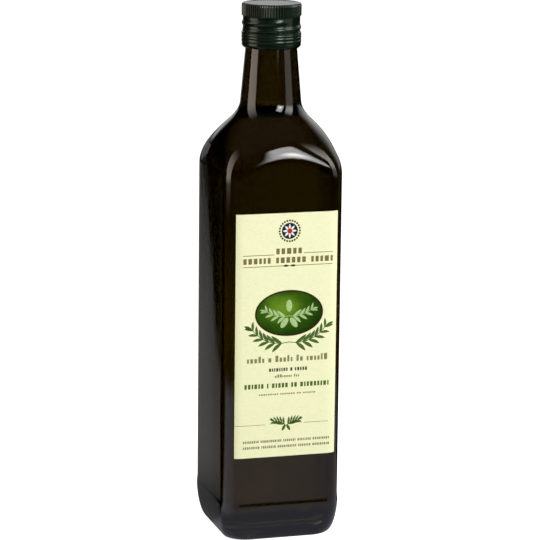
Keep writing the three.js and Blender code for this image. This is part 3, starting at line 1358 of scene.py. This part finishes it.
@dataclass(frozen=True)
class PrintLine:
    """A line of blocks that stands for a line of print.

    Words holds the number of blocks in each word, seed is that of their widths, and tall is the
    share of them that stand higher. A block's width, the gap after it and the space after a word
    are in a unit that makes the line end at its right.
    """

    ink: InkLayer
    left: float
    right: float
    foot: float
    height: float
    words: tuple[int, ...]
    seed: int
    tall: float = 0
    block_widths: Pair = (0.5, 0.95)
    block_gap: float = 0.42
    word_space: float = 1.25
    tall_block: float = 1.5

    def draw(self, sheets: dict[InkLayer, Drawing]) -> None:
        """Draws the line.

        Args:
            sheets: The drawing of each ink.
        """
        draw = random.Random(self.seed)
        widths = [[draw.uniform(*self.block_widths) for _ in range(count)] for count in self.words]
        inside = sum(sum(word) + self.block_gap * (len(word) - 1) for word in widths)
        unit = (self.right - self.left) / (inside + self.word_space * (len(self.words) - 1))
        at = self.left
        for word in widths:
            for width in word:
                rise = self.tall_block if draw.random() < self.tall else 1
                sheets[self.ink].bar(at, at + width * unit, self.foot, self.foot + self.height * rise)
                at += (width + self.block_gap) * unit
            at += (self.word_space - self.block_gap) * unit


@dataclass(frozen=True)
class TwigPair:
    """Two mirrored twigs from one foot, with an olive at each side where it has a width.

    Places are given from a centre, as on the right-hand twig, and the bend as in bowed.
    """

    ink: InkLayer
    foot_z: float
    tip: Pair
    leaf_pairs: int
    leaf: float
    bend: float
    olive_start: Pair = (0, 0)
    olive_end: Pair = (0, 0)
    olive_width: float = 0

    def draw(self, sheets: dict[InkLayer, Drawing], centre: Pair) -> None:
        """Draws the twigs and their olives.

        Args:
            sheets: The drawing of each ink.
            centre: The centre, in metres.
        """
        u, z = centre
        for hand in (1, -1):
            places = (self.tip, self.olive_start, self.olive_end)
            tip, start, end = ((u + hand * x, z + y) for x, y in places)
            sheets[self.ink].branch((u, z + self.foot_z), tip, self.leaf_pairs, self.leaf, self.bend * hand)
            if self.olive_width:
                sheets[self.ink].spindle(start, end, self.olive_width, 0, OLIVE_FULLNESS)


@dataclass
class FrontLabel:
    """The paper label, glued to the front and a little way round both corners."""

    skin: LabelSkin
    bottom: float = 0.0471
    top: float = 0.1802
    left: float = -0.0278
    right: float = 0.0288
    sunk: float = -0.00002
    wrap_steps: int = 11
    flat_steps: int = 29
    finish: LabelPaper = field(default_factory=LabelPaper)

    def build(self) -> bpy.types.Object:
        """Makes the paper.

        Returns:
            The piece.
        """
        flat, wrap = self.skin.flat, self.wrap_steps + 1
        middle = (-flat, flat, self.flat_steps + 1)
        across = np.unique(spread((self.left, -flat, wrap), middle, (flat, self.right, wrap)))
        paper = Drawing(self.skin, self.sunk, self.skin.paper_top)
        paper.between(across, self.bottom, self.top)
        return settle(paper.piece("label_sheet"), Slot.PAPER, self.finish, "front_label")


@dataclass
class LabelPrint:
    """The label's generic print: a seal, headings, an oval with a branch, and small lines.

    Rules are given by their left end, their right end and their height.
    """

    skin: LabelSkin
    ink_thickness: float = 0.00002
    oval_centre: Pair = (0.0018, 0.1259)
    oval_reach: Pair = (0.01895, 0.01255)
    rim_width: float = 0.0009
    bright_spot: Pair = (-0.0022, 0.1289)
    top_olive: Pair = (0.0008, 0.0072)
    top_olive_width: float = 0.0033
    oval_twigs: tuple[TwigPair, ...] = (
        TwigPair(InkLayer.PALE, -0.0015, (0.0125, 0.0015), 4, 0.0062, -0.1,
                 (0.0008, -0.0026), (0.0044, -0.0078), 0.0031),
        TwigPair(InkLayer.GREEN, -0.0158, (0.0206, -0.0078), 6, 0.0078, -0.16),
    )
    seal_centre: Pair = (0.0016, 0.1705)
    seal_radius: float = 0.0044
    seal_eye: float = 0.0014
    petals: int = 8
    petal_foot: float = 0.0006
    petal_tip: float = 0.0037
    petal_width: float = 0.0011
    petal_fullness: float = 0.7
    beads: int = 24
    bead_ring: float = 0.0056
    bead_radius: float = 0.00056
    headings: tuple[PrintLine, ...] = (
        PrintLine(InkLayer.BROWN, -0.0057, 0.0084, 0.1581, 0.0031, (5,), 11),
        PrintLine(InkLayer.BROWN, -0.0238, 0.0258, 0.1533, 0.003, (6, 6, 5), 12),
    )
    heading_rules: tuple[Triple, ...] = (
        (-0.0241, -0.007, 0.1579), (0.0096, 0.0258, 0.1583), (-0.024, 0.0256, 0.15175),
    )
    heading_rule_width: float = 0.00034
    lozenges: tuple[Pair, ...] = ((-0.0019, 0.0013), (0.0021, 0.0053))
    lozenge_z: float = 0.15175
    lozenge_width: float = 0.0012
    small_lines: tuple[PrintLine, ...] = (
        PrintLine(InkLayer.GREY, -0.0213, 0.0234, 0.0994, 0.0023, (5, 1, 5, 2, 6), 21, 0.3),
        PrintLine(InkLayer.DARK, -0.009, 0.0122, 0.0942, 0.0018, (8, 1, 5), 22),
        PrintLine(InkLayer.GREY, -0.0057, 0.0078, 0.0908, 0.0011, (8, 3), 23, 0.2),
        PrintLine(InkLayer.GREEN, -0.0226, 0.0245, 0.0852, 0.0025, (6, 1, 5, 2, 9), 24),
        PrintLine(InkLayer.GREY, -0.0145, 0.0169, 0.0813, 0.0008, (9, 7, 2, 6), 25),
        PrintLine(InkLayer.GREY, -0.0231, 0.0252, 0.0552, 0.0013, (9, 11, 7, 8, 9), 26),
        PrintLine(InkLayer.GREY, -0.0231, 0.0252, 0.052, 0.0013, (9, 8, 10, 7, 9), 27),
    )
    sprig_centre: Pair = (0.0008, 0.0659)
    sprig_twigs: TwigPair = TwigPair(
        InkLayer.GREEN, -0.002, (0.0068, 0.001), 5, 0.0046, 0.12,
        (0.0004, -0.0012), (0.0022, -0.0046), 0.0015,
    )
    sprig_rules: tuple[Triple, ...] = ((-0.0276, -0.0109, 0.0651), (0.0109, 0.0245, 0.0651))
    sprig_rule_width: float = 0.00024

    def __post_init__(self) -> None:
        """Starts one drawing for each ink."""
        self.sheets = {}
        for ink in InkLayer:
            top = self.skin.paper_top + (ink.value[1] + 1) * self.ink_thickness
            self.sheets[ink] = Drawing(self.skin, self.skin.paper_top - self.ink_thickness / 2, top)

    def seal(self) -> None:
        """Draws a round seal: a daisy in a ring of beads."""
        centre = self.seal_centre
        self.sheets[InkLayer.NAVY].ellipse(centre, (self.seal_radius, self.seal_radius))
        for i in range(self.petals):
            turn = math.pi / 2 + i * 2 * math.pi / self.petals
            foot, tip = (around(centre, radius, turn) for radius in (self.petal_foot, self.petal_tip))
            self.sheets[InkLayer.WHITE].spindle(foot, tip, self.petal_width, 0, self.petal_fullness)
        self.sheets[InkLayer.RED].ellipse(centre, (self.seal_eye, self.seal_eye))
        for i in range(self.beads):
            at = around(centre, self.bead_ring, i * 2 * math.pi / self.beads)
            self.sheets[InkLayer.DARK].ellipse(at, (self.bead_radius, self.bead_radius))

    def heading(self) -> None:
        """Draws two heading lines between thin rules, with a pair of lozenges."""
        for line in self.headings:
            line.draw(self.sheets)
        for rule in self.heading_rules:
            self.sheets[InkLayer.BROWN].rule(*rule, self.heading_rule_width)
        for left, right in self.lozenges:
            ends = (left, self.lozenge_z), (right, self.lozenge_z)
            self.sheets[InkLayer.DARK].spindle(*ends, self.lozenge_width)

    def oval(self) -> None:
        """Draws the green oval with a pale olive branch, and a leafy twig at each side below it."""
        self.sheets[InkLayer.FIELD].ellipse(self.oval_centre, self.oval_reach)
        self.sheets[InkLayer.RIM].hoop(self.oval_centre, self.oval_reach, self.rim_width)
        for twigs in self.oval_twigs:
            twigs.draw(self.sheets, self.oval_centre)
        u, z = self.oval_centre
        ends = [(u, z + rise) for rise in self.top_olive]
        self.sheets[InkLayer.PALE].spindle(*ends, self.top_olive_width, 0, OLIVE_FULLNESS)

    def lines(self) -> None:
        """Draws the small lines under the oval, with a sprig in the middle of a thin rule."""
        for line in self.small_lines:
            line.draw(self.sheets)
        for rule in self.sprig_rules:
            self.sheets[InkLayer.GREY].rule(*rule, self.sprig_rule_width)
        self.sprig_twigs.draw(self.sheets, self.sprig_centre)

    def build(self) -> list[bpy.types.Object]:
        """Makes the print.

        Returns:
            One piece for each ink.
        """
        for draw in (self.seal, self.heading, self.oval, self.lines):
            draw()
        finishes = {
            InkLayer.BROWN: PrintInk("ink_brown", srgb(120, 106, 62), srgb(150, 138, 92)),
            InkLayer.DARK: PrintInk("ink_dark", srgb(66, 60, 36), srgb(96, 90, 60)),
            InkLayer.GREY: PrintInk("ink_grey", srgb(128, 126, 88), srgb(158, 156, 116)),
            InkLayer.GREEN: PrintInk("ink_green", srgb(70, 102, 40), srgb(96, 128, 62)),
            InkLayer.FIELD: FieldInk("ink_field", self.bright_spot, self.oval_reach[0]),
            InkLayer.RIM: PrintInk("ink_rim", srgb(46, 30, 10), srgb(62, 44, 18)),
            InkLayer.PALE: PrintInk("ink_pale", srgb(172, 204, 140), srgb(136, 176, 100)),
            InkLayer.NAVY: PrintInk("ink_navy", srgb(36, 38, 62), srgb(54, 56, 82)),
            InkLayer.WHITE: PrintInk("ink_white", srgb(240, 240, 232), srgb(228, 228, 214)),
            InkLayer.RED: PrintInk("ink_red", srgb(186, 40, 34), srgb(196, 70, 58)),
        }
        return [settle(self.sheets[ink].piece(ink.value[0]), Slot.INK, finishes[ink]) for ink in InkLayer]


@dataclass
class SoftBox:
    """A soft rectangular light that faces the bottle, placed by where it stands round the view.

    Azimuths are in degrees to the right of the camera as seen from the bottle. The light fades over
    shares of its width at its sides, and of its height at its lower and upper edge. Its foot has a
    share of the full light, which it reaches along the ramp, and it may have a hotter spot below its
    middle, at a share of its height and with a focus across and up. A roll in degrees lowers the
    side nearest to the camera.
    """

    name: str
    from_azimuth: float
    to_azimuth: float
    from_z: float
    to_z: float
    distance: float
    radiance: float
    fade: tuple[float, float, float] = (0.2, 0.15, 0.15)
    foot: float = 1.0
    ramp: Pair = (0, 1)
    hot: float = 0.0
    hot_height: float = 0.3
    hot_focus: Pair = (3.2, 4.5)
    roll: float = 0.0
    colour: Colour = WHITE

    def build(self, camera_angle: float) -> bpy.types.Object:
        """Makes the light.

        Args:
            camera_angle: The camera's direction round Z from the bottle, in degrees.

        Returns:
            The light.
        """
        middle = math.radians(camera_angle + (self.from_azimuth + self.to_azimuth) / 2)
        spread_angle = math.radians(self.to_azimuth - self.from_azimuth)
        light = bpy.data.lights.new(self.name, "AREA")
        light.shape = "RECTANGLE"
        light.size = 2 * self.distance * math.tan(spread_angle / 2)
        light.size_y = self.to_z - self.from_z
        light.energy = self.radiance * math.pi * light.size * light.size_y
        light.color = self.colour
        self.shade(NodeBook(light))
        lamp = bpy.data.objects.new(self.name, light)
        lamp.location = (*around((0, 0), self.distance, middle), (self.from_z + self.to_z) / 2)
        inwards = Vector((-lamp.location.x, -lamp.location.y, 0))
        roll = Matrix.Rotation(math.radians(self.roll), 3, "Z")
        lamp.rotation_euler = (inwards.to_track_quat("-Z", "Y").to_matrix() @ roll).to_euler()
        lamp.visible_camera = lamp.visible_transmission = False
        bpy.context.scene.collection.objects.link(lamp)
        return lamp

    def shade(self, book: NodeBook) -> None:
        """Draws how the light varies over its face.

        Args:
            book: The light's nodes.
        """
        spot = book.node("ShaderNodeNewGeometry").outputs["Parametric"]
        across, up = book.along(spot, "X"), book.along(spot, "Y")
        side, low, high = self.fade
        inside = across.rise(0, side) * (1 - across).rise(0, side)
        inside = inside * up.rise(0, low) * (1 - up).rise(0, high)
        aside, above = (across - 0.5) * self.hot_focus[0], (up - self.hot_height) * self.hot_focus[1]
        heat = 1 - (aside * aside + above * above).root().rise(0, 1)
        strength = inside * (up.rise(*self.ramp, self.foot) + heat * self.hot)
        emission = book.node("ShaderNodeEmission", None, {"Strength": strength})
        book.node("ShaderNodeOutputLight", None, {"Surface": emission.outputs[0]})


@dataclass
class Studio:
    """The camera, the floor, the lights and the sky.

    Angles are in degrees. The glass mirrors a backdrop that faces the camera. Its bands, over which
    it fades in or out, are of a unit direction's parts away from the camera, up and to the right,
    and its upper edge tilts by a share of the last.
    """

    camera_azimuth: float = 16.4973
    camera_distance: float = 1.421065
    camera_height: float = 0.440499
    camera_pitch: float = 11.6964
    camera_roll: float = 0.6356
    lens: float = 178.25
    shift: Pair = (0.00214, -0.01216)
    floor_reach: float = 30
    sky: float = 0.15
    horizon: Pair = (-0.02, 0.1)
    backdrop: float = 0.9
    backdrop_away: Pair = (0.35, 0.7)
    backdrop_top: Pair = (0.22, 0.48)
    backdrop_tilt: float = 0.18
    backdrop_left: Pair = (-0.5, -0.38)
    ceiling: float = 0.05
    ceiling_height: Pair = (0.6, 0.9)
    dark: float = 0.004
    glow_below: float = 0.6
    lights: tuple[SoftBox, ...] = (
        SoftBox("left_box", -97, -56, 0.055, 1.35, 0.65, 3.1, (0.15, 0.08, 0.85), colour=(1.0, 0.87, 0.75)),
        SoftBox("right_box", 57, 93, 0.0, 1.6, 1.2, 5, (0.15, 0.06, 0.5), 0.2, (0.17, 0.42),
                colour=(1.0, 0.94, 0.88)),
        SoftBox("key_box", 21, 50, 0.33, 1.45, 1.4, 7.6, (0.22, 0.12, 0.15), hot=1.9, roll=9),
    )

    def add_camera(self) -> None:
        """Adds the camera at the photograph's viewpoint."""
        camera = bpy.data.objects.new("camera", bpy.data.cameras.new("camera"))
        azimuth = math.radians(self.camera_azimuth)
        camera.location = (*around((0, 0), -self.camera_distance, math.pi / 2 - azimuth), self.camera_height)
        angles = (-azimuth, math.radians(90 - self.camera_pitch), math.radians(self.camera_roll))
        turn, tilt, roll = (Matrix.Rotation(angle, 3, axis) for angle, axis in zip(angles, "ZXZ"))
        camera.rotation_euler = (turn @ tilt @ roll).to_euler()
        camera.data.lens = self.lens
        camera.data.shift_x, camera.data.shift_y = self.shift
        bpy.context.scene.collection.objects.link(camera)
        bpy.context.scene.camera = camera

    def add_floor(self) -> None:
        """Adds the floor."""
        reach = self.floor_reach
        corners = np.array([(-reach, -reach, 0), (reach, -reach, 0), (reach, reach, 0), (-reach, reach, 0)])
        floor = new_piece("floor", (corners, [(0, 1, 2, 3)]))
        floor.data.materials.append(PaleFloor().material())

    def add_sky(self) -> None:
        """Adds a pale sky, which the glass mirrors as a backdrop and shows dimly through itself."""
        world = bpy.data.worlds.new("sky")
        bpy.context.scene.world = world
        book = NodeBook(world)
        way = book.node("ShaderNodeTexCoord").outputs["Generated"]
        x, y, up = (book.along(way, axis) for axis in "XYZ")
        azimuth = math.radians(self.camera_azimuth)
        away = x * math.sin(azimuth) + y * math.cos(azimuth)
        right = x * math.cos(azimuth) - y * math.sin(azimuth)
        above = up.rise(*self.horizon)
        sheet = away.rise(*self.backdrop_away) * above * right.rise(*self.backdrop_left)
        sheet = sheet * (1 - (up - right * self.backdrop_tilt).rise(*self.backdrop_top))
        mirrored = sheet * self.backdrop + up.rise(*self.ceiling_height) * self.ceiling + self.dark
        through = (away * away).rise(*SIDEWAYS_BAND, SIDEWAYS_SHARE) * (1 - above) * self.glow_below
        seen, diffuse, glossy, refracted = book.rays("Camera", "Diffuse", "Glossy", "Transmission")
        shade = seen + diffuse * self.sky + glossy * (1 - refracted) * mirrored + refracted * through
        background = book.node("ShaderNodeBackground", None, {"Color": shade, "Strength": 1.0})
        book.node("ShaderNodeOutputWorld", None, {"Surface": background.outputs[0]})

    def build(self) -> None:
        """Makes the studio."""
        self.add_camera()
        self.add_floor()
        self.add_sky()
        for box in self.lights:
            box.build(270 - self.camera_azimuth)
        bpy.context.scene.view_settings.view_transform = "Standard"
        log.info("studio: %d soft boxes", len(self.lights))


def main() -> None:
    """Builds the studio and the bottle, piece by piece."""
    logging.basicConfig(level=logging.INFO, format="%(name)s %(message)s")
    form = BottleForm()
    skin = LabelSkin(form)
    Studio().build()
    oil = OliveOil(form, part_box("olive_oil")[1].z)
    for part in (GlassBottle(form), oil, ScrewCap(), FrontLabel(skin), LabelPrint(skin)):
        part.build()
        log.info("%s is made", type(part).__name__)


if __name__ == "__main__":
    main()
